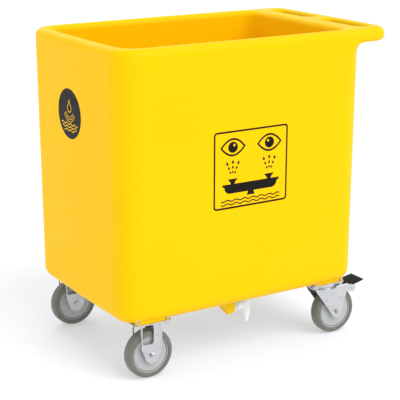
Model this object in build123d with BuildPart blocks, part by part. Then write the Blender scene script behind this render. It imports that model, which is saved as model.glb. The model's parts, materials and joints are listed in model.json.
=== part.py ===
"""Wheeled waste-water tub for a portable eyewash: a rotationally moulded, hollow-walled tub with a
handle shelf, two rigid casters, two braked swivel casters and a drain tap. Millimetres, +Z up.

X runs along the tub with the handle at +X, and the origin is on the floor under the middle of the
whole length. Left is the -Y side, as seen by a person pushing from the handle end."""

from build123d import *
from math import cos, radians, sin, sqrt, tan
import os

os.makedirs("parts", exist_ok=True)

# ---- driving dimensions: tub --------------------------------------------------------------------
overall_length = 810.0      # end wall to nose of the handle shelf
tub_length = 720.0          # end wall to end wall
tub_width = 515.0           # across the middle of the long sides
rim_height = 829.0          # top of the rim above the floor
base_height = 152.0         # underside of the tub, the mounting height of the casters
skin = 5.0                  # thickness of each moulded skin
wall = 36.0                 # outer face to inner face of the hollow wall
floor_depth = 30.0          # outer face to inner face of the hollow floor
side_bow = 5.0              # how far each long side bulges over the whole length
end_bow = 4.0               # how far each end bulges
draft = 3.0                 # how much the base is inset all round against the rim
shelf_thickness = 36.0      # height of the rim band and of the handle shelf
corner_radius = 61.0
nose_radius = 57.0
base_radius = 32.0
rim_outer_radius = 20.5
rim_inner_radius = 15.0
under_rim_radius = 14.0
flare_radius = 26.0         # hollow under the handle shelf, where it meets the end wall
flare_steps = 5
cavity_corner_radius = 42.0
cavity_floor_radius = 30.0
solid_rim_depth = 16.0      # the two skins run together this far below the top of the rim

slot_length = 180.0
slot_width = 44.0
slot_spacing = 227.0
slot_x = 349.0
slot_edge_radius = 9.0

sign_x = -42.0
sign_z = 513.0
sign_width = 219.5
sign_height = 197.5
sign_corner_radius = 9.0
badge_y = 15.0
badge_z = 639.0
badge_diameter = 127.0
inlay_depth = 1.0

# ---- driving dimensions: drain ------------------------------------------------------------------
drain_y = -170.0
drain_z = 118.0             # axis of the drain fitting
sump_face_x = -42.0         # upright face of the sump, where the drain leaves
sump_radius = 20.0          # the sump is a round-bottomed trough about the drain axis
sump_wall = 5.0
sump_face_wall = 8.0
sump_flat = 14.0            # level stretch at the bottom, before it slopes up
sump_slope = 60.0           # steepness of that slope, in degrees
sump_block = 100.0          # length of solid base round the sump
fitting_diameter = 21.0     # half-inch pipe thread
fitting_bore = 15.0
fitting_length = 40.0
fitting_flats = 28.0
gasket_diameter = 30.0
gasket_thickness = 2.0
tap_x = 5.0                 # upright axis of the tap
plug_diameter = 17.0
port_diameter = 9.0
tail_diameter = 12.7        # half-inch hose

# ---- driving dimensions: casters ----------------------------------------------------------------
wheel_diameter = 127.0
wheel_width = 33.0
track = 424.0               # left wheel plane to right wheel plane
front_axle_x = -316.0
kingpin_x = 225.0
trail = 35.0                # kingpin to rear axle

plate_length = 102.0
plate_width = 66.0
steel = 3.0                 # thickness of plates and fork legs
pad_inset = 5.0             # the moulded pad under each plate stops this far inside its edge
pad_corner_radius = 12.0
foot_margin = 6.0           # solid plastic round each plate's outline
bolt_spacing_x = 80.0
bolt_spacing_y = 48.0
bolt_diameter = 8.0
bolt_hole = 9.0
head_across_flats = 13.0
head_height = 5.3
washer_thickness = 1.6
insert_diameter = 14.0
insert_length = 20.0

leg_gap = 41.0              # between the inner faces of a fork's legs
boss_radius = 21.0          # rounded lower end of a rigid fork's leg
yoke_boss_radius = 17.0
hub_length = 40.0
sleeve_diameter = 12.7
bush_diameter = 20.0
tyre_seat_radius = 50.5

yoke_top = 137.5
yoke_thickness = 4.0
race_radius = 27.0
ball_radius = 3.0
ball_count = 24
ball_z = 141.5
kingpin_diameter = 12.0
pedal_pin_x = 86.0          # from the kingpin
pedal_pin_z = 121.0
pedal_width = 52.0

running_gap = 0.05          # radial clearance where one piece turns in or on another

# ---- sizes that follow from them ----------------------------------------------------------------
half_length = overall_length / 2
low_end = -half_length
tub_end = low_end + tub_length
half_track = track / 2
axle_z = wheel_diameter / 2
shelf_z = rim_height - shelf_thickness
floor_z = base_height + floor_depth
plate_z = base_height - steel
side_circle = (half_length**2 + side_bow**2) / (2 * side_bow)
leg_outer = leg_gap / 2 + steel
sides = {"left": -half_track, "right": half_track}
feet = [(x, y) for x in (front_axle_x, kingpin_x) for y in sides.values()]
bolt_places = [
    (x + i * bolt_spacing_x / 2, y + j * bolt_spacing_y / 2)
    for x, y in feet
    for i in (-1, 1)
    for j in (-1, 1)
]


def save(part, name):
    """Labels a finished piece and writes it as its own STEP file."""
    part.label = name
    export_step(part, f"parts/{name}.step")


# ---- tub ----------------------------------------------------------------------------------------
def draft_at(z):
    """How far the wall stands in from the rim's outline at height z."""
    return draft * (shelf_z - z) / (shelf_z - base_height)


def plan(z, inset=0.0, x_high=tub_end, radius=corner_radius, high_radius=None):
    """Plan outline at height z: both long sides on one large circle, bowed ends, round corners."""
    x0 = low_end + inset
    x1 = x_high - inset
    xa = x0 + end_bow
    xb = x1 - end_bow
    middle = (x0 + x1) / 2

    def side(x):
        return tub_width / 2 - inset - side_circle + sqrt(side_circle**2 - x**2)

    with BuildSketch(Plane.XY.offset(z)) as outline:
        with BuildLine():
            ThreePointArc((xa, -side(xa)), (middle, -side(middle)), (xb, -side(xb)))
            ThreePointArc((xb, -side(xb)), (x1, 0), (xb, side(xb)))
            ThreePointArc((xb, side(xb)), (middle, side(middle)), (xa, side(xa)))
            ThreePointArc((xa, side(xa)), (x0, 0), (xa, -side(xa)))
        make_face()
        fillet(outline.vertices().group_by(Axis.X)[0], radius)
        fillet(outline.vertices().group_by(Axis.X)[-1], high_radius or radius)
    return outline.sketch


def wall_form(low_z, high_z, inset=0.0, radius=corner_radius):
    """The drafted outer form of the tub between two heights, set in by the inset."""
    with BuildPart() as form:
        sections = [plan(z, inset + draft_at(z), radius=radius) for z in (low_z, high_z)]
        loft(sections, ruled=True)
    return form.part


def flare_point(radius, step):
    """Height below the shelf and reach beyond the end wall, part of the way round the flare."""
    angle = radians(90 * step / flare_steps)
    return radius * (1 - sin(angle)), radius * (1 - cos(angle))


def hand_slots(z):
    """Outline of both hand slots at height z."""
    with BuildSketch(Plane.XY.offset(z)) as openings:
        with Locations((slot_x, -slot_spacing / 2), (slot_x, slot_spacing / 2)):
            SlotOverall(slot_length, slot_width, rotation=90)
    return openings.sketch


with BuildPart() as body_form:      # walls and base below the rim band
    flare_low = shelf_z - flare_radius
    add(wall_form(base_height, flare_low))
    fillet(body_form.edges().group_by(Axis.Z)[0], base_radius)
    flare = [flare_point(flare_radius, step) for step in range(flare_steps + 1)]
    flare_sections = [plan(shelf_z - drop, draft_at(shelf_z - drop), tub_end + reach) for drop, reach in flare]
    flare_sections.append(plan(shelf_z + under_rim_radius + 1, x_high=tub_end + flare_radius))
    loft(flare_sections, ruled=True)
    extrude(hand_slots(flare_low), amount=flare_radius + shelf_thickness, mode=Mode.SUBTRACT)

with BuildPart() as rim_form:       # rim band and handle shelf in one, rounded top and bottom
    extrude(plan(shelf_z, x_high=half_length, high_radius=nose_radius), amount=shelf_thickness)
    fillet(rim_form.edges().group_by(Axis.Z)[-1], rim_outer_radius)
    fillet(rim_form.edges().group_by(Axis.Z)[0], under_rim_radius)
    extrude(hand_slots(shelf_z), amount=shelf_thickness, mode=Mode.SUBTRACT)
    rims = rim_form.edges().group_by(Axis.Z)[-1]
    slot_reach = slot_width / 2 + 1
    fillet(rims.filter_by_position(Axis.X, slot_x - slot_reach, slot_x + slot_reach), slot_edge_radius)


with BuildPart() as hollow:         # space between the outer and the inner skin
    void_top = rim_height - solid_rim_depth
    add(wall_form(base_height + skin, void_top, skin, corner_radius - skin))
    fillet(hollow.edges().group_by(Axis.Z)[0], base_radius - skin)
    add(wall_form(floor_z - skin, rim_height, wall - skin, cavity_corner_radius + skin), mode=Mode.SUBTRACT)
    with BuildSketch(Plane.XY.offset(base_height)):     # solid above each caster, round the inserts
        with Locations(feet):
            Rectangle(plate_length + 2 * foot_margin, plate_width + 2 * foot_margin)
    extrude(amount=floor_depth, mode=Mode.SUBTRACT)
    with Locations((sump_face_x, drain_y, base_height)):        # and solid round the sump
        Box(
            sump_block,
            2 * sump_radius + 8,
            floor_depth,
            align=(Align.MAX, Align.CENTER, Align.MIN),
            mode=Mode.SUBTRACT,
        )

with BuildPart() as sign:           # square black-bordered pictogram panel let into the long side
    add(wall_form(base_height, shelf_z))
    add(wall_form(base_height, shelf_z, inlay_depth), mode=Mode.SUBTRACT)
    with BuildSketch(Plane.XZ.offset(tub_width / 2 + 1)):
        with Locations((sign_x, sign_z)):
            RectangleRounded(sign_width, sign_height, sign_corner_radius)
    extrude(amount=-corner_radius, mode=Mode.INTERSECT)
save(sign.part, "eyewash_sign")

with BuildPart() as badge:          # round black badge let into the end wall
    add(wall_form(base_height, shelf_z))
    add(wall_form(base_height, shelf_z, inlay_depth), mode=Mode.SUBTRACT)
    with BuildSketch(Plane.YZ.offset(low_end - 1)):
        with Locations((badge_y, badge_z)):
            Circle(badge_diameter / 2)
    extrude(amount=corner_radius, mode=Mode.INTERSECT)
save(badge.part, "round_badge")


def trough(face_x, radius, flat, top):
    """Round-bottomed trough about the drain axis: upright face at face_x, floor rising away from it."""
    bottom = drain_z - radius
    run = flat + (top - bottom) / tan(radians(sump_slope))
    with BuildPart() as form:
        with BuildSketch(Plane.YZ.offset(face_x)):
            with Locations((drain_y, drain_z)):
                Circle(radius)
            with Locations((drain_y, (drain_z + top) / 2)):
                Rectangle(2 * radius, top - drain_z)
        extrude(amount=-run)
        with BuildSketch(Plane.XZ.offset(radius - drain_y)):
            with BuildLine():
                Polyline(
                    (face_x, top),
                    (face_x, bottom),
                    (face_x - flat, bottom),
                    (face_x - run, top),
                    close=True,
                )
            make_face()
        extrude(amount=-2 * radius, mode=Mode.INTERSECT)
    return form.part


with BuildPart() as cavity:         # the space that holds the water
    add(wall_form(floor_z, rim_height + 1, wall, cavity_corner_radius))
    fillet(cavity.edges().group_by(Axis.Z)[0], cavity_floor_radius)
    well_flat = sump_flat - sump_face_wall - sump_wall * tan(radians(sump_slope / 2))
    add(trough(sump_face_x - sump_face_wall, sump_radius - sump_wall, well_flat, floor_z + sump_wall))

with BuildPart() as tub:
    add(body_form.part)
    add(rim_form.part)
    with BuildSketch(Plane.XY.offset(base_height)):     # low pads that carry the plates past the rounded edge
        with Locations(feet):
            RectangleRounded(plate_length - 2 * pad_inset, plate_width - 2 * pad_inset, pad_corner_radius)
    extrude(amount=base_radius / 2)
    add(trough(sump_face_x, sump_radius, sump_flat, base_height + skin))
    add(cavity.part, mode=Mode.SUBTRACT)
    add(hollow.part, mode=Mode.SUBTRACT)
    mouth = tub.edges().group_by(Axis.Z)[-1].filter_by_position(Axis.X, low_end, slot_x - slot_width)
    fillet(mouth.filter_by(lambda e: abs(e.center().Y) < tub_width / 2 - rim_outer_radius - 5), rim_inner_radius)
    add([sign.part, badge.part], mode=Mode.SUBTRACT)
    with Locations((sump_face_x, drain_y, drain_z)):
        Cylinder(fitting_diameter / 2, 2 * sump_face_wall + 2, rotation=(0, 90, 0), mode=Mode.SUBTRACT)
    with BuildSketch(Plane.XY.offset(base_height)):
        with Locations(bolt_places):
            RegularPolygon(insert_diameter / 2, 6, major_radius=False)
    extrude(amount=insert_length, mode=Mode.SUBTRACT)
save(tub.part, "tub")


# ---- caster fasteners ---------------------------------------------------------------------------
with BuildPart() as inserts:        # brass inserts moulded into the base, four above each caster
    with BuildSketch(Plane.XY.offset(base_height)):
        with Locations(bolt_places):
            RegularPolygon(insert_diameter / 2, 6, major_radius=False)
    extrude(amount=insert_length)
    with BuildSketch(Plane.XY.offset(base_height)):
        with Locations(bolt_places):
            Circle(bolt_diameter / 2 + running_gap)
    extrude(amount=insert_length - 2, mode=Mode.SUBTRACT)
save(inserts.part, "threaded_inserts")

with BuildPart() as washers:
    with BuildSketch(Plane.XY.offset(plate_z)):
        with Locations(bolt_places):
            Circle(bolt_hole - 0.5)
            Circle(bolt_hole / 2, mode=Mode.SUBTRACT)
    extrude(amount=-washer_thickness)
save(washers.part, "caster_washers")

with BuildPart() as bolts:          # hexagon screws driven up through the plates
    under_head = plate_z - washer_thickness
    with BuildSketch(Plane.XY.offset(under_head)):
        with Locations(bolt_places):
            RegularPolygon(head_across_flats / 2, 6, major_radius=False)
    extrude(amount=-head_height)
    chamfer(bolts.edges().group_by(Axis.Z)[0], 0.6)
    with BuildSketch(Plane.XY.offset(under_head)):
        with Locations(bolt_places):
            Circle(bolt_diameter / 2)
    extrude(amount=20)
save(bolts.part, "caster_bolts")


# ---- drain --------------------------------------------------------------------------------------
drain_axis = Plane((sump_face_x, drain_y, drain_z), x_dir=(0, 1, 0), z_dir=(1, 0, 0))
tap_axis = Plane((tap_x, drain_y, drain_z))

with BuildPart() as fitting:        # threaded stub screwed into the sump's face
    with BuildSketch(drain_axis.offset(-sump_face_wall)):
        Circle(fitting_diameter / 2)
    extrude(amount=fitting_length)
    with BuildSketch(drain_axis.offset(gasket_thickness)):
        RegularPolygon(fitting_flats / 2, 6, major_radius=False)
    extrude(amount=7)
    with BuildSketch(drain_axis.offset(-sump_face_wall)):
        Circle(fitting_bore / 2)
    extrude(amount=fitting_length, mode=Mode.SUBTRACT)
save(fitting.part, "drain_fitting")

with BuildPart() as gasket:         # between the sump and the fitting's hexagon
    with BuildSketch(drain_axis):
        Circle(gasket_diameter / 2)
        Circle(fitting_diameter / 2, mode=Mode.SUBTRACT)
    extrude(amount=gasket_thickness)
save(gasket.part, "drain_gasket")

socket_start = 14.0                 # from the sump's face to the mouth of the tap's socket
socket_depth = fitting_length - sump_face_wall - socket_start
socket_wall = 3.0
neck_radius = 9.0
barrel_radius = 11.0
barrel_top = 14.0                   # heights from here on are above the drain axis
barrel_bottom = -28.0
plug_bottom = -9.0
spout_tip = -49.5
tail_length = 8.0
tail_shoulder = 1.0
cap_height = 3.0
plug_square = 6.0
square_top = 26.0
seal_heights = (-7.0, 8.5)
seal_depth = 0.9
seal_width = 1.2
handle_length = 42.0
handle_width = 8.0
handle_height = 10.0

with BuildPart() as tap_body:       # upright barrel with a socket on the fitting and a spout below
    with BuildSketch(tap_axis.offset(barrel_bottom)):
        Circle(barrel_radius)
    extrude(amount=barrel_top - barrel_bottom)
    with BuildSketch(drain_axis.offset(socket_start)):
        Circle(fitting_diameter / 2 + socket_wall)
    extrude(amount=socket_depth + socket_wall)
    with BuildSketch(drain_axis.offset(socket_start + socket_depth)):
        Circle(neck_radius)
    extrude(amount=tap_x - sump_face_x - socket_start - socket_depth)
    with BuildSketch(tap_axis.offset(barrel_bottom)):
        Circle(barrel_radius)
    with BuildSketch(tap_axis.offset(spout_tip + tail_length)):
        Circle(tail_diameter / 2 + tail_shoulder)
    loft()
    with BuildSketch(tap_axis.offset(spout_tip)):       # plain tail for a hose
        Circle(tail_diameter / 2)
    extrude(amount=tail_length)
    with BuildSketch(drain_axis.offset(socket_start)):
        Circle(fitting_diameter / 2)
    extrude(amount=socket_depth, mode=Mode.SUBTRACT)
    with BuildSketch(drain_axis.offset(socket_start)):
        Circle(port_diameter / 2)
    extrude(amount=tap_x - sump_face_x - socket_start, mode=Mode.SUBTRACT)
    with BuildSketch(tap_axis.offset(plug_bottom)):
        Circle(plug_diameter / 2 + running_gap)
    extrude(amount=barrel_top - plug_bottom, mode=Mode.SUBTRACT)
    with BuildSketch(tap_axis.offset(spout_tip)):
        Circle(port_diameter / 2)
    extrude(amount=plug_bottom - spout_tip, mode=Mode.SUBTRACT)
save(tap_body.part, "drain_tap_body")

with BuildPart() as tap_plug:       # turns a quarter turn to line its port up with the socket
    with BuildSketch(tap_axis.offset(plug_bottom + running_gap)):
        Circle(plug_diameter / 2)
    extrude(amount=barrel_top - plug_bottom - running_gap)
    with BuildSketch(tap_axis.offset(barrel_top)):
        Rectangle(plug_square, plug_square)
    extrude(amount=square_top - barrel_top)
    with BuildSketch(tap_axis.offset(plug_bottom)):
        Circle(port_diameter / 2)
    extrude(amount=port_diameter / 2 - plug_bottom, mode=Mode.SUBTRACT)
    with BuildSketch(Plane((tap_x, drain_y, drain_z), z_dir=(0, -1, 0))):
        Circle(port_diameter / 2)
    extrude(amount=plug_diameter, mode=Mode.SUBTRACT)
    for height in seal_heights:
        with BuildSketch(tap_axis.offset(height - seal_width / 2)):
            Circle(plug_diameter / 2)
            Circle(plug_diameter / 2 - seal_depth, mode=Mode.SUBTRACT)
        extrude(amount=seal_width, mode=Mode.SUBTRACT)
save(tap_plug.part, "drain_tap_plug")

with BuildPart() as tap_seals:
    for height in seal_heights:
        with BuildSketch(tap_axis.offset(height - seal_width / 2)):
            Circle(plug_diameter / 2)
            Circle(plug_diameter / 2 - seal_depth, mode=Mode.SUBTRACT)
        extrude(amount=seal_width)
save(tap_seals.part, "drain_tap_seals")

with BuildPart() as tap_cap:        # ring that keeps the plug in the barrel
    with BuildSketch(tap_axis.offset(barrel_top)):
        Circle(barrel_radius)
        Circle(plug_square, mode=Mode.SUBTRACT)
    extrude(amount=cap_height)
    chamfer(tap_cap.edges().group_by(Axis.Z)[-1].sort_by(SortBy.LENGTH)[-1], 1)
save(tap_cap.part, "drain_tap_cap")

with BuildPart() as tap_handle:     # wing handle on the plug's square, just above the cap
    with BuildSketch(tap_axis.offset(barrel_top + cap_height + 4 * running_gap)):
        SlotOverall(handle_length, handle_width, rotation=90)
        Circle(handle_width)
    extrude(amount=handle_height)
    fillet(tap_handle.edges().group_by(Axis.Z)[-1], 2)
    with BuildSketch(tap_axis.offset(barrel_top)):
        Rectangle(plug_square, plug_square)
    extrude(amount=square_top - barrel_top, mode=Mode.SUBTRACT)
save(tap_handle.part, "drain_tap_handle")


# ---- wheels, the same for all four casters ------------------------------------------------------
def upright(y):
    """Plane facing -Y through y, with its axes along X and Z."""
    return Plane.XZ.offset(-y)


def wheel_pieces(x, y, name):
    """Core, tyre and two flanged bushes, all turning together about an axle at (x, y)."""
    across = Plane((x, y, axle_z), x_dir=(1, 0, 0), z_dir=(0, -1, 0))
    half_hub = hub_length / 2 - 1
    with BuildPart() as core:
        for radius, half_width, mode in (
            (tyre_seat_radius, 13.0, Mode.ADD),
            (47.0, 13.0, Mode.SUBTRACT),
            (47.0, 7.0, Mode.ADD),
            (45.4, 11.5, Mode.ADD),
            (17.0, half_hub, Mode.ADD),
            (bush_diameter / 2, half_hub, Mode.SUBTRACT),
        ):
            with BuildSketch(across.offset(-half_width)):
                Circle(radius)
            extrude(amount=2 * half_width, mode=mode)
    save(core.part, f"{name}_wheel_core")

    with BuildPart() as tyre:
        with BuildSketch(across.offset(-wheel_width / 2)):
            Circle(wheel_diameter / 2)
        extrude(amount=wheel_width)
        fillet(tyre.edges(), 10)
        with BuildSketch(across.offset(-wheel_width / 2)):
            Circle(tyre_seat_radius)
        extrude(amount=wheel_width, mode=Mode.SUBTRACT)
    save(tyre.part, f"{name}_tyre")

    with BuildPart() as bushes:
        for end in (-1, 1):
            with BuildSketch(across.offset(end * half_hub)):
                Circle(bush_diameter / 2 + 3)
            extrude(amount=end)
            with BuildSketch(across.offset(end * half_hub)):
                Circle(bush_diameter / 2)
            extrude(amount=-end * 12)
        with BuildSketch(across.offset(-half_hub - 1)):
            Circle(sleeve_diameter / 2 + running_gap)
        extrude(amount=hub_length, mode=Mode.SUBTRACT)
    save(bushes.part, f"{name}_wheel_bushes")


def axle_pieces(x, y, name):
    """Sleeve clamped between the fork's legs, its bolt, and a nut on the outer side of the cart."""
    outward = 1 if y > 0 else -1
    out = Plane((x, y, axle_z), x_dir=(1, 0, 0), z_dir=(0, outward, 0))
    with BuildPart() as sleeve:
        with BuildSketch(out.offset(-leg_gap / 2)):
            Circle(sleeve_diameter / 2)
            Circle(bolt_diameter / 2 + running_gap, mode=Mode.SUBTRACT)
        extrude(amount=leg_gap)
    save(sleeve.part, f"{name}_axle_sleeve")

    with BuildPart() as bolt:
        with BuildSketch(out.offset(-leg_outer)):
            Circle(bolt_diameter / 2)
        extrude(amount=2 * leg_outer + head_height + 3)
        with BuildSketch(out.offset(-leg_outer)):
            RegularPolygon(head_across_flats / 2, 6, major_radius=False)
        extrude(amount=-head_height)
    save(bolt.part, f"{name}_axle_bolt")

    with BuildPart() as nut:
        with BuildSketch(out.offset(leg_outer)):
            Circle(head_across_flats / 2 + 2)
        extrude(amount=1.2)
        with BuildSketch(out.offset(leg_outer)):
            RegularPolygon(head_across_flats / 2, 6, major_radius=False)
        extrude(amount=head_height + 1.5)
        chamfer(nut.faces().sort_by(Axis.Y)[-1 if y > 0 else 0].edges(), 0.6)
        with BuildSketch(out.offset(leg_outer)):
            Circle(bolt_diameter / 2)
        extrude(amount=head_height + 2, mode=Mode.SUBTRACT)
    save(nut.part, f"{name}_axle_nut")


def top_plate(x, y):
    """Flat mounting plate with its four bolt holes."""
    with BuildPart() as plate:
        with BuildSketch(Plane.XY.offset(plate_z)):
            with Locations((x, y)):
                RectangleRounded(plate_length, plate_width, 8)
                with GridLocations(bolt_spacing_x, bolt_spacing_y, 2, 2):
                    Circle(bolt_hole / 2, mode=Mode.SUBTRACT)
        extrude(amount=steel)
    return plate.part


# ---- rigid casters ------------------------------------------------------------------------------
leg_low_x = -31.0           # from the axle
leg_high_x = 28.0
leg_shoulder_z = 84.0
window_bottom = 94.0
window_top = 146.0
window_width = 32.0
window_edge = 3.0           # strip of leg left in front of the window
window_corner_radius = 7.0

for side, y in sides.items():
    name = f"front_{side}"
    x = front_axle_x
    with BuildPart() as fork:
        with BuildSketch(upright(y - leg_outer)):
            with Locations((x, axle_z)):
                Circle(boss_radius)
            with Locations((x + (leg_low_x + leg_high_x) / 2, (leg_shoulder_z + plate_z) / 2)):
                Rectangle(leg_high_x - leg_low_x, plate_z - leg_shoulder_z)
            make_hull()
        extrude(amount=-2 * leg_outer)
        with Locations((x, y, 0)):
            Box(plate_length, leg_gap, plate_z, align=(Align.CENTER, Align.CENTER, Align.MIN), mode=Mode.SUBTRACT)
        with BuildSketch(upright(y - leg_outer)):        # window beside the leg's bright web
            with Locations((x + leg_low_x + window_edge + window_width / 2, (window_bottom + window_top) / 2)):
                RectangleRounded(window_width, window_top - window_bottom, window_corner_radius)
            with Locations((x, axle_z)):
                Circle(bolt_diameter / 2)
        extrude(amount=-2 * leg_outer, mode=Mode.SUBTRACT)
        add(top_plate(x, y))
        corners = fork.edges().filter_by(Axis.X).filter_by_position(Axis.Z, plate_z - 0.1, plate_z + 0.1)
        fillet(corners.filter_by(lambda e: abs(abs(e.center().Y - y) - leg_outer) < 0.1), 2)
    save(fork.part, f"{name}_fork")
    axle_pieces(x, y, name)
    wheel_pieces(x, y, name)


# ---- braked swivel casters ----------------------------------------------------------------------
disc_radius = 38.0
race_inner = 21.0
race_outer = 33.0
race_clear = 0.5            # each race stops this far from the balls' middle plane
web_end = 45.0              # the yoke's top web ends this far behind the kingpin
neck_low = -36.0            # front and back of the leg's wide top, from the kingpin
neck_high = 70.0
kingpin_low = 124.5
kingpin_nut_z = 125.5
kingpin_nut_height = 6.5
thrust_washer_thickness = 1.4
pedal_pin_diameter = 6.0
pin_head_height = 1.5
ear_radius = 10.5
pedal_hub_radius = 8.0
pedal_side_gap = 1.0
shoe_width = 26.0
rib_count = 5
rib_spacing = 5.0
rib_width = 2.0
rib_height = 1.0
heel_outline = [(-11, 1), (-8, 9), (3, 15.5), (13, 15.5), (7, 1), (-4, -4)]     # X and Z from the pedal's pin
tread_outline = [(3, 12), (2, 16), (34, 21), (35, 18.5), (14, 13)]
shoe_outline = [(-5.5, -5.0), (-8.1, -10.4), (-5.4, -12.0), (-2.3, -13.0), (-0.5, -6.0)]
yoke_under = yoke_top - yoke_thickness


def ball_track(x, y):
    """Round groove that the swivel balls roll in."""
    with BuildPart() as track_form:
        with Locations((x, y, ball_z)):
            Torus(race_radius, ball_radius + running_gap)
    return track_form.part


for side, y in sides.items():
    name = f"rear_{side}"
    x = kingpin_x
    wheel_x = kingpin_x + trail
    groove = ball_track(x, y)

    with BuildPart() as kingpin:            # countersunk flush with the plate
        with BuildSketch(Plane.XY.offset(base_height)):
            with Locations((x, y)):
                Circle(kingpin_diameter / 2)
        extrude(amount=kingpin_low - base_height)
        with Locations((x, y, base_height - 2)):
            Cone(kingpin_diameter / 2 + 2, kingpin_diameter / 2 + 4, 4)
    save(kingpin.part, f"{name}_kingpin")

    with BuildPart() as swivel_plate:       # fixed plate with the upper race
        add(top_plate(x, y))
        with BuildSketch(Plane.XY.offset(ball_z + race_clear)):
            with Locations((x, y)):
                Circle(race_outer)
                Circle(race_inner, mode=Mode.SUBTRACT)
        extrude(amount=plate_z - ball_z - race_clear)
        add([groove, kingpin.part], mode=Mode.SUBTRACT)
    save(swivel_plate.part, f"{name}_swivel_plate")

    with BuildPart() as kingpin_nut:
        with BuildSketch(Plane.XY.offset(kingpin_nut_z)):
            with Locations((x, y)):
                RegularPolygon(9, 6, major_radius=False)
        extrude(amount=kingpin_nut_height)
        with BuildSketch(Plane.XY.offset(kingpin_nut_z + kingpin_nut_height)):
            with Locations((x, y)):
                Circle(11)
        extrude(amount=thrust_washer_thickness)
        with BuildSketch(Plane.XY.offset(kingpin_nut_z)):
            with Locations((x, y)):
                Circle(kingpin_diameter / 2)
        extrude(amount=base_height, mode=Mode.SUBTRACT)
    save(kingpin_nut.part, f"{name}_kingpin_nut")

    with BuildPart() as balls:
        with Locations((x, y, ball_z)):
            with PolarLocations(race_radius, ball_count):
                Sphere(ball_radius)
    save(balls.part, f"{name}_swivel_balls")

    with BuildPart() as yoke:
        with BuildSketch(upright(y - leg_outer)):       # leg, from the wide neck down to the axle
            with Locations((wheel_x, axle_z)):
                Circle(yoke_boss_radius)
            with Locations((x + (neck_low + neck_high) / 2, yoke_top - 3)):
                Rectangle(neck_high - neck_low, 6)
            make_hull()
        extrude(amount=-2 * leg_outer)
        with BuildSketch(upright(y - leg_outer)):       # ear for the pedal's pin
            with Locations((x + pedal_pin_x, pedal_pin_z)):
                Circle(ear_radius)
            with Locations((x + web_end, yoke_top - 6)):
                Rectangle(30, 12)
            make_hull()
        extrude(amount=-2 * leg_outer)
        fillet(yoke.faces().sort_by(Axis.Z)[-1].edges().filter_by(Axis.X), 5)
        with Locations((x + neck_low - 1, y, 0)):
            Box(
                web_end - neck_low + 1,
                leg_gap,
                yoke_under,
                align=(Align.MIN, Align.CENTER, Align.MIN),
                mode=Mode.SUBTRACT,
            )
        with Locations((x + web_end, y, 0)):
            Box(
                wheel_diameter,
                leg_gap,
                base_height,
                align=(Align.MIN, Align.CENTER, Align.MIN),
                mode=Mode.SUBTRACT,
            )
        with BuildSketch(Plane.XY.offset(yoke_under)):
            with Locations((x, y)):
                Circle(disc_radius)
        extrude(amount=yoke_thickness)
        with BuildSketch(Plane.XY.offset(yoke_top)):    # lower race
            with Locations((x, y)):
                Circle(race_outer)
                Circle(race_inner, mode=Mode.SUBTRACT)
        extrude(amount=ball_z - race_clear - yoke_top)
        add(groove, mode=Mode.SUBTRACT)
        with BuildSketch(Plane.XY.offset(yoke_under)):
            with Locations((x, y)):
                Circle(kingpin_diameter / 2 + running_gap)
        extrude(amount=yoke_thickness, mode=Mode.SUBTRACT)
        with BuildSketch(upright(y - leg_outer)):
            with Locations((wheel_x, axle_z)):
                Circle(bolt_diameter / 2)
            with Locations((x + pedal_pin_x, pedal_pin_z)):
                Circle(pedal_pin_diameter / 2)
        extrude(amount=-2 * leg_outer, mode=Mode.SUBTRACT)
    save(yoke.part, f"{name}_yoke")
    axle_pieces(wheel_x, y, name)
    wheel_pieces(wheel_x, y, name)

    with BuildPart() as pedal_pin:
        with BuildSketch(upright(y - leg_outer - pin_head_height)):
            with Locations((x + pedal_pin_x, pedal_pin_z)):
                Circle(pedal_pin_diameter / 2)
        extrude(amount=-2 * (leg_outer + pin_head_height))
        for end in (-1, 1):
            with BuildSketch(upright(y + end * leg_outer)):
                with Locations((x + pedal_pin_x, pedal_pin_z)):
                    Circle(pedal_pin_diameter / 2 + 2)
            extrude(amount=-end * pin_head_height)
    save(pedal_pin.part, f"{name}_pedal_pin")

    pin = (x + pedal_pin_x, pedal_pin_z)
    hub_width = leg_gap - 2 * pedal_side_gap
    tread_start = Vector(tread_outline[1])
    tread_end = Vector(tread_outline[2])
    tread_run = tread_end - tread_start
    tread_middle = Vector(pin) + (tread_start + tread_end) / 2
    with BuildPart() as pedal:
        with BuildSketch(upright(y - hub_width / 2)):       # hub and heel, between the ears
            with Locations(pin):
                Circle(pedal_hub_radius)
                Polygon(*heel_outline, align=None)
        extrude(amount=-hub_width)
        with BuildSketch(upright(y - pedal_width / 2)):     # wide tread, over and beyond the ears
            with Locations(pin):
                Polygon(*tread_outline, align=None)
        extrude(amount=-pedal_width)
        tread = Plane(
            (tread_middle.X, y, tread_middle.Y),
            x_dir=(tread_run.X, 0, tread_run.Y),
            z_dir=(-tread_run.Y, 0, tread_run.X),
        )
        with BuildSketch(tread):                            # ribs under the shoe's sole
            with GridLocations(rib_spacing, 1, rib_count, 1):
                Rectangle(rib_width, pedal_width - 2 * rib_width)
        extrude(amount=rib_height)
        with BuildSketch(upright(y - hub_width / 2)):
            with Locations(pin):
                Circle(pedal_pin_diameter / 2 + running_gap)
        extrude(amount=-hub_width, mode=Mode.SUBTRACT)
    save(pedal.part, f"{name}_brake_pedal")

    with BuildPart() as shoe:               # rubber block on the pedal's heel
        with BuildSketch(upright(y - shoe_width / 2)):
            with Locations(pin):
                Polygon(*shoe_outline, align=None)
                Circle(pedal_hub_radius, mode=Mode.SUBTRACT)
        extrude(amount=-shoe_width)
    save(shoe.part, f"{name}_brake_shoe")
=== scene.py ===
"""Looks of the wheeled waste-water tub: finishes for its CAD pieces, printed sign and badge, plain studio.

Metres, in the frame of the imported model: +X towards the handle shelf, +Z up, the side with the sign at -Y.
"""

import bmesh
import bpy
import json
import math
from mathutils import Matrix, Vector
from mathutils.bvhtree import BVHTree
from mathutils.geometry import tessellate_polygon


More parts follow.
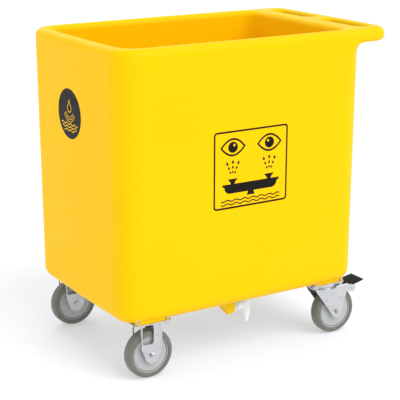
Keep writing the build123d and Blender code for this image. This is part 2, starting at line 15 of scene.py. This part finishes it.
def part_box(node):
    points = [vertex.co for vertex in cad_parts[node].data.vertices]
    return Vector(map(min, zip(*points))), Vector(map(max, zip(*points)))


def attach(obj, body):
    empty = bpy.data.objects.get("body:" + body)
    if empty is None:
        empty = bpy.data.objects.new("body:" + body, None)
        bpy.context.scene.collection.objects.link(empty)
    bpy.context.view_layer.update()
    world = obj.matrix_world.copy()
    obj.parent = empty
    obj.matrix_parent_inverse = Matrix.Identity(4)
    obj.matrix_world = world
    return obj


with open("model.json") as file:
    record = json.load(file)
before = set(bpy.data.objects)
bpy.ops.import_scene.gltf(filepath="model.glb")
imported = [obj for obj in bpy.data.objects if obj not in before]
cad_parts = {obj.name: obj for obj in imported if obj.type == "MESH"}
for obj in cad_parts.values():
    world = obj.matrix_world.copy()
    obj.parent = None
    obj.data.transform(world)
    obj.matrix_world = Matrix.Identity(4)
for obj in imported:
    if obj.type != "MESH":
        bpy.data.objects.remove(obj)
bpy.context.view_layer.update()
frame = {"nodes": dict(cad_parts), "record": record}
nodes = frame["nodes"]
mm = 0.001


# ---- camera, lights and floor -------------------------------------------------------------------
camera_azimuth = math.radians(-31.75)
camera_elevation = math.radians(15.88)
camera_distance = 3.2828
camera_lens = 109.93
camera_target = Vector((-0.03244, 0.0, 0.36447))

world_strength = 0.77
floor_half = 30.0
floor_glow = 0.37
floor_grey, floor_cloud = (0.60, 0.61, 0.63), (0.59, 0.60, 0.62)


def direction(azimuth, elevation):
    """Unit vector from the object out to a viewer; azimuth 0 is in front of the -Y side."""
    flat = math.cos(elevation)
    return Vector((math.sin(azimuth) * flat, -math.cos(azimuth) * flat, math.sin(elevation)))


def add_camera():
    data = bpy.data.cameras.new("camera")
    data.lens = camera_lens
    camera = bpy.data.objects.new("camera", data)
    bpy.context.scene.collection.objects.link(camera)
    back = direction(camera_azimuth, camera_elevation)
    camera.location = camera_target + back * camera_distance
    camera.rotation_euler = (-back).to_track_quat("-Z", "Y").to_euler()
    bpy.context.scene.camera = camera


def add_sun(name, azimuth, elevation, strength, width):
    """Parallel light from far off, as wide as given in degrees, so that its shadows are soft."""
    data = bpy.data.lights.new(name, "SUN")
    data.energy = strength
    data.angle = math.radians(width)
    sun = bpy.data.objects.new(name, data)
    bpy.context.scene.collection.objects.link(sun)
    back = direction(math.radians(azimuth), math.radians(elevation))
    sun.rotation_euler = (-back).to_track_quat("-Z", "Y").to_euler()


def add_studio():
    scene = bpy.context.scene
    scene.view_settings.view_transform = "Standard"
    world = bpy.data.worlds.new("studio")
    world.use_nodes = True
    background = world.node_tree.nodes["Background"]
    background.inputs["Color"].default_value = (1.0, 1.0, 1.0, 1.0)
    background.inputs["Strength"].default_value = world_strength
    scene.world = world
    add_sun("key", 20, 45, 1.7, 50)
    add_sun("left", -100, 25, 0.25, 40)
    add_sun("back", 170, 40, 0.65, 50)


def add_floor():
    """Pale glowing ground, bright enough to stay white and to keep the shadows light."""
    mesh = bpy.data.meshes.new("floor")
    build = bmesh.new()
    bmesh.ops.create_grid(build, x_segments=8, y_segments=8, size=floor_half)
    build.to_mesh(mesh)
    build.free()
    floor = bpy.data.objects.new("floor", mesh)
    bpy.context.scene.collection.objects.link(floor)
    finish = Finish("floor_paper", floor_grey, 0.9, Specular_IOR_Level=0.0)
    finish.tint(finish.noise(0.5), floor_cloud, 0.3)
    finish.shader.inputs["Emission Color"].default_value = (1.0, 1.0, 1.0, 1.0)
    finish.shader.inputs["Emission Strength"].default_value = floor_glow
    mesh.materials.append(finish.material)


# ---- finishes -----------------------------------------------------------------------------------
class Finish:
    """A Principled material, varied by noise in the piece's own coordinates."""

    def __init__(self, name, colour, roughness, **inputs):
        self.material = bpy.data.materials.new(name)
        self.material.use_nodes = True
        self.tree = self.material.node_tree
        self.shader = self.tree.nodes["Principled BSDF"]
        self.place = self.tree.nodes.new("ShaderNodeTexCoord").outputs["Object"]
        self.colour = (*colour, 1.0)
        self.height = None
        self.shader.inputs["Base Color"].default_value = self.colour
        self.shader.inputs["Roughness"].default_value = roughness
        for label, value in inputs.items():
            self.shader.inputs[label.replace("_", " ")].default_value = value

    def noise(self, size, detail=3.0, stretch=(1.0, 1.0, 1.0), roughness=0.55):
        """Noise whose blotches are about as wide as size, in metres."""
        mapping = self.tree.nodes.new("ShaderNodeMapping")
        mapping.inputs["Scale"].default_value = [s / size for s in stretch]
        self.tree.links.new(self.place, mapping.inputs["Vector"])
        texture = self.tree.nodes.new("ShaderNodeTexNoise")
        texture.inputs["Scale"].default_value = 1.0
        texture.inputs["Detail"].default_value = detail
        texture.inputs["Roughness"].default_value = roughness
        self.tree.links.new(mapping.outputs["Vector"], texture.inputs["Vector"])
        return texture.outputs["Fac"]

    def remap(self, value, low, high, to_low=0.0, to_high=1.0):
        """The stretch of value from low to high, spread over to_low to to_high."""
        span = self.tree.nodes.new("ShaderNodeMapRange")
        span.interpolation_type = "SMOOTHSTEP"
        for label, number in (("From Min", low), ("From Max", high), ("To Min", to_low), ("To Max", to_high)):
            span.inputs[label].default_value = number
        self.tree.links.new(value, span.inputs["Value"])
        return span.outputs["Result"]

    def tint(self, value, colour, amount):
        """Colours the base towards colour where value is high, by up to amount."""
        mix = self.tree.nodes.new("ShaderNodeMix")
        mix.data_type = "RGBA"
        base = self.shader.inputs["Base Color"]
        if base.is_linked:
            self.tree.links.new(base.links[0].from_socket, mix.inputs["A"])
        else:
            mix.inputs["A"].default_value = self.colour
        mix.inputs["B"].default_value = (*colour, 1.0)
        self.tree.links.new(self.remap(value, 0.35, 0.65, 0.0, amount), mix.inputs["Factor"])
        self.tree.links.new(mix.outputs["Result"], base)

    def gloss(self, value, smooth, dull):
        """Roughness from smooth to dull with value."""
        self.tree.links.new(self.remap(value, 0.3, 0.7, smooth, dull), self.shader.inputs["Roughness"])

    def math(self, operation, first, second):
        """One value from two, either of which may be a number."""
        node = self.tree.nodes.new("ShaderNodeMath")
        node.operation = operation
        for socket, value in zip(node.inputs, (first, second)):
            if isinstance(value, bpy.types.NodeSocket):
                self.tree.links.new(value, socket)
            else:
                socket.default_value = value
        return node.outputs["Value"]

    def outside(self, low, high):
        """1 outside the box from corner low to corner high, and 0 inside it."""
        axes = self.tree.nodes.new("ShaderNodeSeparateXYZ")
        self.tree.links.new(self.place, axes.inputs["Vector"])
        furthest = -1.0
        for axis, start, end in zip(axes.outputs, low, high):
            off_middle = self.math("SUBTRACT", axis, (start + end) / 2)
            beyond = self.math("SUBTRACT", self.math("ABSOLUTE", off_middle, 0.0), (end - start) / 2)
            furthest = self.math("MAXIMUM", furthest, beyond)
        return self.math("GREATER_THAN", furthest, 0.0)

    def neutral_bounce(self, grey, low, high):
        """Outside the box from low to high, the light that the piece throws on its surroundings is grey."""
        path = self.tree.nodes.new("ShaderNodeLightPath")
        mix = self.tree.nodes.new("ShaderNodeMix")
        mix.data_type = "RGBA"
        base = self.shader.inputs["Base Color"]
        thrown = self.math("MULTIPLY", path.outputs["Is Diffuse Ray"], self.outside(low, high))
        self.tree.links.new(thrown, mix.inputs["Factor"])
        self.tree.links.new(base.links[0].from_socket, mix.inputs["A"])
        mix.inputs["B"].default_value = (*grey, 1.0)
        self.tree.links.new(mix.outputs["Result"], base)

    def bump(self, value, depth):
        """Raises the surface by up to depth metres where value is high, on top of what was bumped before."""
        bump = self.tree.nodes.new("ShaderNodeBump")
        bump.inputs["Strength"].default_value = 1.0
        bump.inputs["Distance"].default_value = depth
        self.tree.links.new(value, bump.inputs["Height"])
        normal = self.shader.inputs["Normal"]
        if normal.is_linked:
            self.tree.links.new(normal.links[0].from_socket, bump.inputs["Normal"])
        self.tree.links.new(bump.outputs["Normal"], normal)


tub_inside = ((-0.375, -0.226, 0.165), (0.285, 0.226, 0.840))     # corners round the space for the water
neutral_grey = (0.50, 0.47, 0.42)


def moulded_yellow(name, rough_low, rough_high):
    """Rotationally moulded polyethylene: even colour, satin, with a fine orange peel."""
    finish = Finish(name, (0.965, 0.570, 0.0), 0.4, Specular_IOR_Level=0.06)
    finish.tint(finish.noise(0.35), (0.955, 0.550, 0.0), 0.5)
    finish.tint(finish.noise(0.0035, 2.0), (0.975, 0.590, 0.0), 0.15)
    finish.neutral_bounce(neutral_grey, *tub_inside)
    finish.gloss(finish.noise(0.06), rough_low, rough_high)
    finish.bump(finish.noise(0.006, 2.0), 0.00006)
    finish.bump(finish.noise(0.0009, 1.0), 0.00001)
    return finish.material


def black_ink(name):
    finish = Finish(name, (0.005, 0.004, 0.003), 0.45, Specular_IOR_Level=0.12)
    finish.tint(finish.noise(0.002), (0.010, 0.009, 0.007), 0.5)
    finish.gloss(finish.noise(0.01), 0.40, 0.52)
    return finish.material


def zinc(name, colour, rough_low, rough_high, cloud):
    """Bright zinc plate: metal with a cloudy, slightly blue-white bloom and fine drawn lines."""
    finish = Finish(name, colour, 0.3, Metallic=1.0)
    finish.tint(finish.noise(cloud, 4.0), (0.45, 0.46, 0.48), 0.5)
    finish.tint(finish.noise(cloud / 5, 2.0), (0.70, 0.70, 0.69), 0.35)
    finish.gloss(finish.noise(cloud / 2, 4.0), rough_low, rough_high)
    finish.bump(finish.noise(0.0012, 2.0, (1.0, 1.0, 0.12)), 0.000012)
    return finish.material


def polished_steel(name):
    finish = Finish(name, (0.65, 0.65, 0.67), 0.1, Metallic=1.0)
    finish.gloss(finish.noise(0.001), 0.08, 0.2)
    return finish.material


def brass(name):
    finish = Finish(name, (0.72, 0.50, 0.19), 0.3, Metallic=1.0)
    finish.tint(finish.noise(0.004), (0.55, 0.36, 0.12), 0.5)
    finish.gloss(finish.noise(0.002), 0.22, 0.4)
    return finish.material


def moulded(name, colour, shade, roughness, grain, depth, specular=0.3):
    """Injection-moulded plastic or rubber with a fine grain; roughness is (smooth, dull)."""
    finish = Finish(name, colour, roughness[0], Specular_IOR_Level=specular)
    finish.tint(finish.noise(0.02), shade, 0.5)
    finish.gloss(finish.noise(0.008), *roughness)
    finish.bump(finish.noise(grain, 2.0), depth)
    return finish.material


white = (0.88, 0.88, 0.86)
off_white = (0.82, 0.82, 0.79)
tyre_grey, tyre_dark = (0.17, 0.17, 0.145), (0.14, 0.14, 0.12)
core_grey, core_dark = (0.46, 0.47, 0.47), (0.42, 0.43, 0.43)
rubber, worn_rubber = (0.012, 0.012, 0.012), (0.02, 0.02, 0.02)
nylon, worn_nylon = (0.008, 0.008, 0.009), (0.014, 0.014, 0.015)
finishes = {
    "yellow_polyethylene": moulded_yellow("yellow_polyethylene", 0.36, 0.46),
    "sign_film": moulded_yellow("sign_film", 0.26, 0.32),
    "badge_film": black_ink("badge_film"),
    "brass": brass("brass"),
    "zinc_hardware": zinc("zinc_hardware", (0.58, 0.59, 0.60), 0.16, 0.32, 0.006),
    "zinc_steel": zinc("zinc_steel", (0.60, 0.61, 0.62), 0.24, 0.42, 0.02),
    "ball_steel": polished_steel("ball_steel"),
    "white_polypropylene": moulded("white_polypropylene", white, off_white, (0.3, 0.42), 0.001, 0.00001),
    "black_rubber": moulded("black_rubber", rubber, worn_rubber, (0.6, 0.75), 0.0008, 0.00002),
    "grey_tyre": moulded("grey_tyre", tyre_grey, tyre_dark, (0.30, 0.42), 0.002, 0.00002),
    "grey_wheel_core": moulded("grey_wheel_core", core_grey, core_dark, (0.32, 0.45), 0.0012, 0.000015),
    "acetal": moulded("acetal", white, off_white, (0.3, 0.4), 0.001, 0.000008),
    "black_nylon": moulded("black_nylon", nylon, worn_nylon, (0.4, 0.55), 0.0007, 0.00003, 0.15),
}


# ---- printed art --------------------------------------------------------------------------------
art_height = 0.2 * mm       # the ink stands this far off the panel
art_depth = 0.1 * mm        # and reaches this far into it
art_step = 10.0             # millimetres between the cuts that let it bend
art_cuts = 11
art_start = 0.1             # metres off the panel, where the rays that find it begin


def arc_points(centre, radius, start, end, steps):
    """Points on a circle from one angle to another, in degrees, both ends included."""
    angles = [math.radians(start + (end - start) * k / steps) for k in range(steps + 1)]
    return [(centre[0] + radius * math.cos(a), centre[1] + radius * math.sin(a)) for a in angles]


def disc(centre, radius, steps=28):
    return arc_points(centre, radius, 0, 360, steps)[:-1]


def rounded_box(width, height, radius, steps=8):
    """Outline about the middle; each side is divided, so that it can follow a bowed surface."""
    points = []
    for quarter, (sx, sy) in enumerate(((1, 1), (-1, 1), (-1, -1), (1, -1))):
        corner = (sx * (width / 2 - radius), sy * (height / 2 - radius))
        points += arc_points(corner, radius, 90 * quarter, 90 * quarter + 90, steps)
    divided = []
    for k, start in enumerate(points):
        end = points[(k + 1) % len(points)]
        parts = max(1, round(math.dist(start, end) / 6))
        divided += [
            (start[0] + (end[0] - start[0]) * n / parts, start[1] + (end[1] - start[1]) * n / parts)
            for n in range(parts)
        ]
    return divided


def ribbon(middle, width):
    """Outline of a strip of one width along a line of points."""
    left, right = [], []
    for k, point in enumerate(middle):
        before = middle[max(k - 1, 0)]
        after = middle[min(k + 1, len(middle) - 1)]
        length = math.dist(before, after)
        across = ((before[1] - after[1]) / length, (after[0] - before[0]) / length)
        left.append((point[0] + across[0] * width / 2, point[1] + across[1] * width / 2))
        right.append((point[0] - across[0] * width / 2, point[1] - across[1] * width / 2))
    return right + left[::-1]


def wave(start, end, height, rise, length):
    """Points along a wave about a level line."""
    steps = round((end - start) / length * 16)
    along = [start + (end - start) * k / steps for k in range(steps + 1)]
    return [(u, height + rise * math.sin(2 * math.pi * u / length)) for u in along]


def almond(centre, width, height, steps=18):
    """Pointed oval of two equal arcs."""
    along = [width * (k / steps - 0.5) for k in range(steps)]
    crown = [(centre[0] + u, centre[1] + height / 2 * (1 - (2 * u / width) ** 2)) for u in along]
    sole = [(centre[0] - u, centre[1] - height / 2 * (1 - (2 * u / width) ** 2)) for u in along]
    return crown + sole


def drop(centre, radius, heading, steps=14):
    """Teardrop whose point looks along a heading, in degrees."""
    rounded = arc_points((0, 0), radius, 35, 325, steps)
    outline = rounded + [(radius * 2.1, 0)]
    turn = math.radians(heading)
    return [
        (
            centre[0] + u * math.cos(turn) - v * math.sin(turn),
            centre[1] + u * math.sin(turn) + v * math.cos(turn),
        )
        for u, v in outline
    ]


def print_art(name, node, slot, shapes, place, inward):
    """Lays shapes on a panel as thin solids: each shape is an outline and its holes, in millimetres.

    place turns a shape's point into one well outside the panel, and inward looks from there at the panel."""
    panel = nodes[node].data
    tree = BVHTree.FromPolygons([v.co for v in panel.vertices], [p.vertices for p in panel.polygons])
    mesh = bpy.data.meshes.new(name)
    build = bmesh.new()
    for loops in shapes:
        flat = [[Vector((u, v, 0.0)) for u, v in loop] for loop in loops]
        points = [build.verts.new(place(u, v)) for loop in loops for u, v in loop]
        for corners in tessellate_polygon(flat):
            build.faces.new([points[c] for c in corners])
    across = place(art_step, 0) - place(0, 0)
    for k in range(-art_cuts, art_cuts + 1):        # cut finely enough to follow the panel's bow
        geometry = build.verts[:] + build.edges[:] + build.faces[:]
        bmesh.ops.bisect_plane(build, geom=geometry, plane_co=place(0, 0) + across * k, plane_no=across)
    for face in build.faces:
        face.normal_update()
        if face.normal.dot(inward) > 0:
            face.normal_flip()
    for vert in build.verts:
        vert.co = tree.ray_cast(vert.co, inward)[0] - inward * art_height
    build.to_mesh(mesh)
    build.free()
    piece = bpy.data.objects.new(name, mesh)
    bpy.context.scene.collection.objects.link(piece)
    solid = piece.modifiers.new("solid", "SOLIDIFY")
    solid.thickness = art_height + art_depth
    solid.offset = -1
    mesh.materials.append(finishes[slot])
    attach(piece, "root")


# Millimetres from the middle of the sign or of the badge, seen from outside.
border_width = 4.5
border_radius = 9.0
border_margin = 0.3         # between the border and the edge of the panel
eye_middle = (54.0, 57.0)   # of the right eye; the left one mirrors it
eye_outer = (74.0, 46.0)
eye_inner = (62.0, 36.0)
pupil_radius = 14.0
glint_radius = 3.4
glint_offset = (4.0, 5.0)
cup_height = -24.0          # rim of each cup, under its eye
cup_outline = ((-15, 1), (-8, -6), (-5, -12), (5, -12), (8, -6), (15, 1))
spray_leans = (-22, 0, 22)  # degrees from upright
spray_reaches = (18, 30, 43)
drop_start = 1.9            # a drop's radius at its cup
drop_growth = 0.034         # and how much that gains for each millimetre away from it
basin_end = 62.0            # where the basin's rounded ends begin
basin_lip = ((84, -36), (-84, -36), (-84, -41))
basin_radius = 16.0
basin_turn = -44.0          # height of the middles of those ends
foot_outline = ((-8, -60), (-12, -70), (12, -70), (8, -60))
wave_levels = (-78, -87)
wave_reach = 87.5
wave_rise, wave_length, wave_width = 2.0, 25, 3.0
ring_middle = (0, 12)
ring_radii = (20, 26, 32)
ring_start, ring_end = 205, 335     # degrees
ring_width = 1.6
badge_drop = (0, 14)
badge_drop_radii = (11, 8.6)
badge_wave_levels = (-26, -34, -42)
badge_wave_rise, badge_wave_length, badge_wave_width = 2.4, 22, 2.4
badge_art_radius = 52.0


def add_sign_art():
    """Black border and a picture: two eyes over a basin whose two cups spray them, and two waves below."""
    low, high = (Vector(corner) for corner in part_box("eyewash_sign"))
    middle = (low + high) / 2
    width = (high.x - low.x) / mm - 2 * border_margin
    height = (high.z - low.z) / mm - 2 * border_margin
    inner = rounded_box(width - 2 * border_width, height - 2 * border_width, border_radius - 4)
    shapes = [[rounded_box(width, height, border_radius), inner]]
    for side in (-1, 1):
        eye = (side * eye_middle[0], eye_middle[1])
        glint = (eye[0] - side * glint_offset[0], eye[1] + glint_offset[1])
        shapes.append([almond(eye, *eye_outer), almond(eye, *eye_inner)])
        shapes.append([disc(eye, pupil_radius), disc(glint, glint_radius, 14)])
        nozzle = (eye[0], cup_height)
        for lean in spray_leans:
            heading = math.radians(90 + lean)
            for reach in spray_reaches:
                place = (nozzle[0] + reach * math.cos(heading), nozzle[1] + reach * math.sin(heading))
                size = drop_start + reach * drop_growth
                shapes.append([drop(place, size, math.degrees(heading))])
        shapes.append([[(nozzle[0] + u, nozzle[1] + v) for u, v in cup_outline]])
    sole = arc_points((-basin_end, basin_turn), basin_radius, 180, 270, 8)
    sole += arc_points((basin_end, basin_turn), basin_radius, 270, 360, 8)
    shapes.append([list(basin_lip) + sole + [(-basin_lip[-1][0], basin_lip[-1][1])]])
    shapes.append([list(foot_outline)])
    for level in wave_levels:
        line = wave(-wave_reach, wave_reach, level, wave_rise, wave_length)
        shapes.append([ribbon(line, wave_width)])

    def place(u, v):
        return Vector((middle.x + u * mm, low.y - art_start, middle.z + v * mm))

    print_art("sign_print", "eyewash_sign", "badge_film", shapes, place, Vector((0, 1, 0)))


def add_badge_art():
    """Yellow arcs, water drop and waves on the black badge."""
    low, high = (Vector(corner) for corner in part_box("round_badge"))
    middle = (low + high) / 2
    shapes = []
    for radius in ring_radii:
        shapes.append([ribbon(arc_points(ring_middle, radius, ring_start, ring_end, 24), ring_width)])
    shapes.append([drop(badge_drop, radius, 90, 24) for radius in badge_drop_radii])
    for level in badge_wave_levels:
        reach = math.sqrt(badge_art_radius**2 - level**2)
        line = wave(-reach, reach, level, badge_wave_rise, badge_wave_length)
        shapes.append([ribbon(line, badge_wave_width)])

    def place(u, v):
        return Vector((low.x - art_start, middle.y - u * mm, middle.z + v * mm))

    print_art("badge_print", "round_badge", "sign_film", shapes, place, Vector((1, 0, 0)))


def dress_nodes():
    """Gives every CAD node the finish of its material slot."""
    for row in frame["record"]["subparts"]:
        for place in nodes[row["node"]].material_slots:
            place.material = finishes[row["material_slot"]]


add_camera()
add_studio()
add_floor()
dress_nodes()
add_sign_art()
add_badge_art()
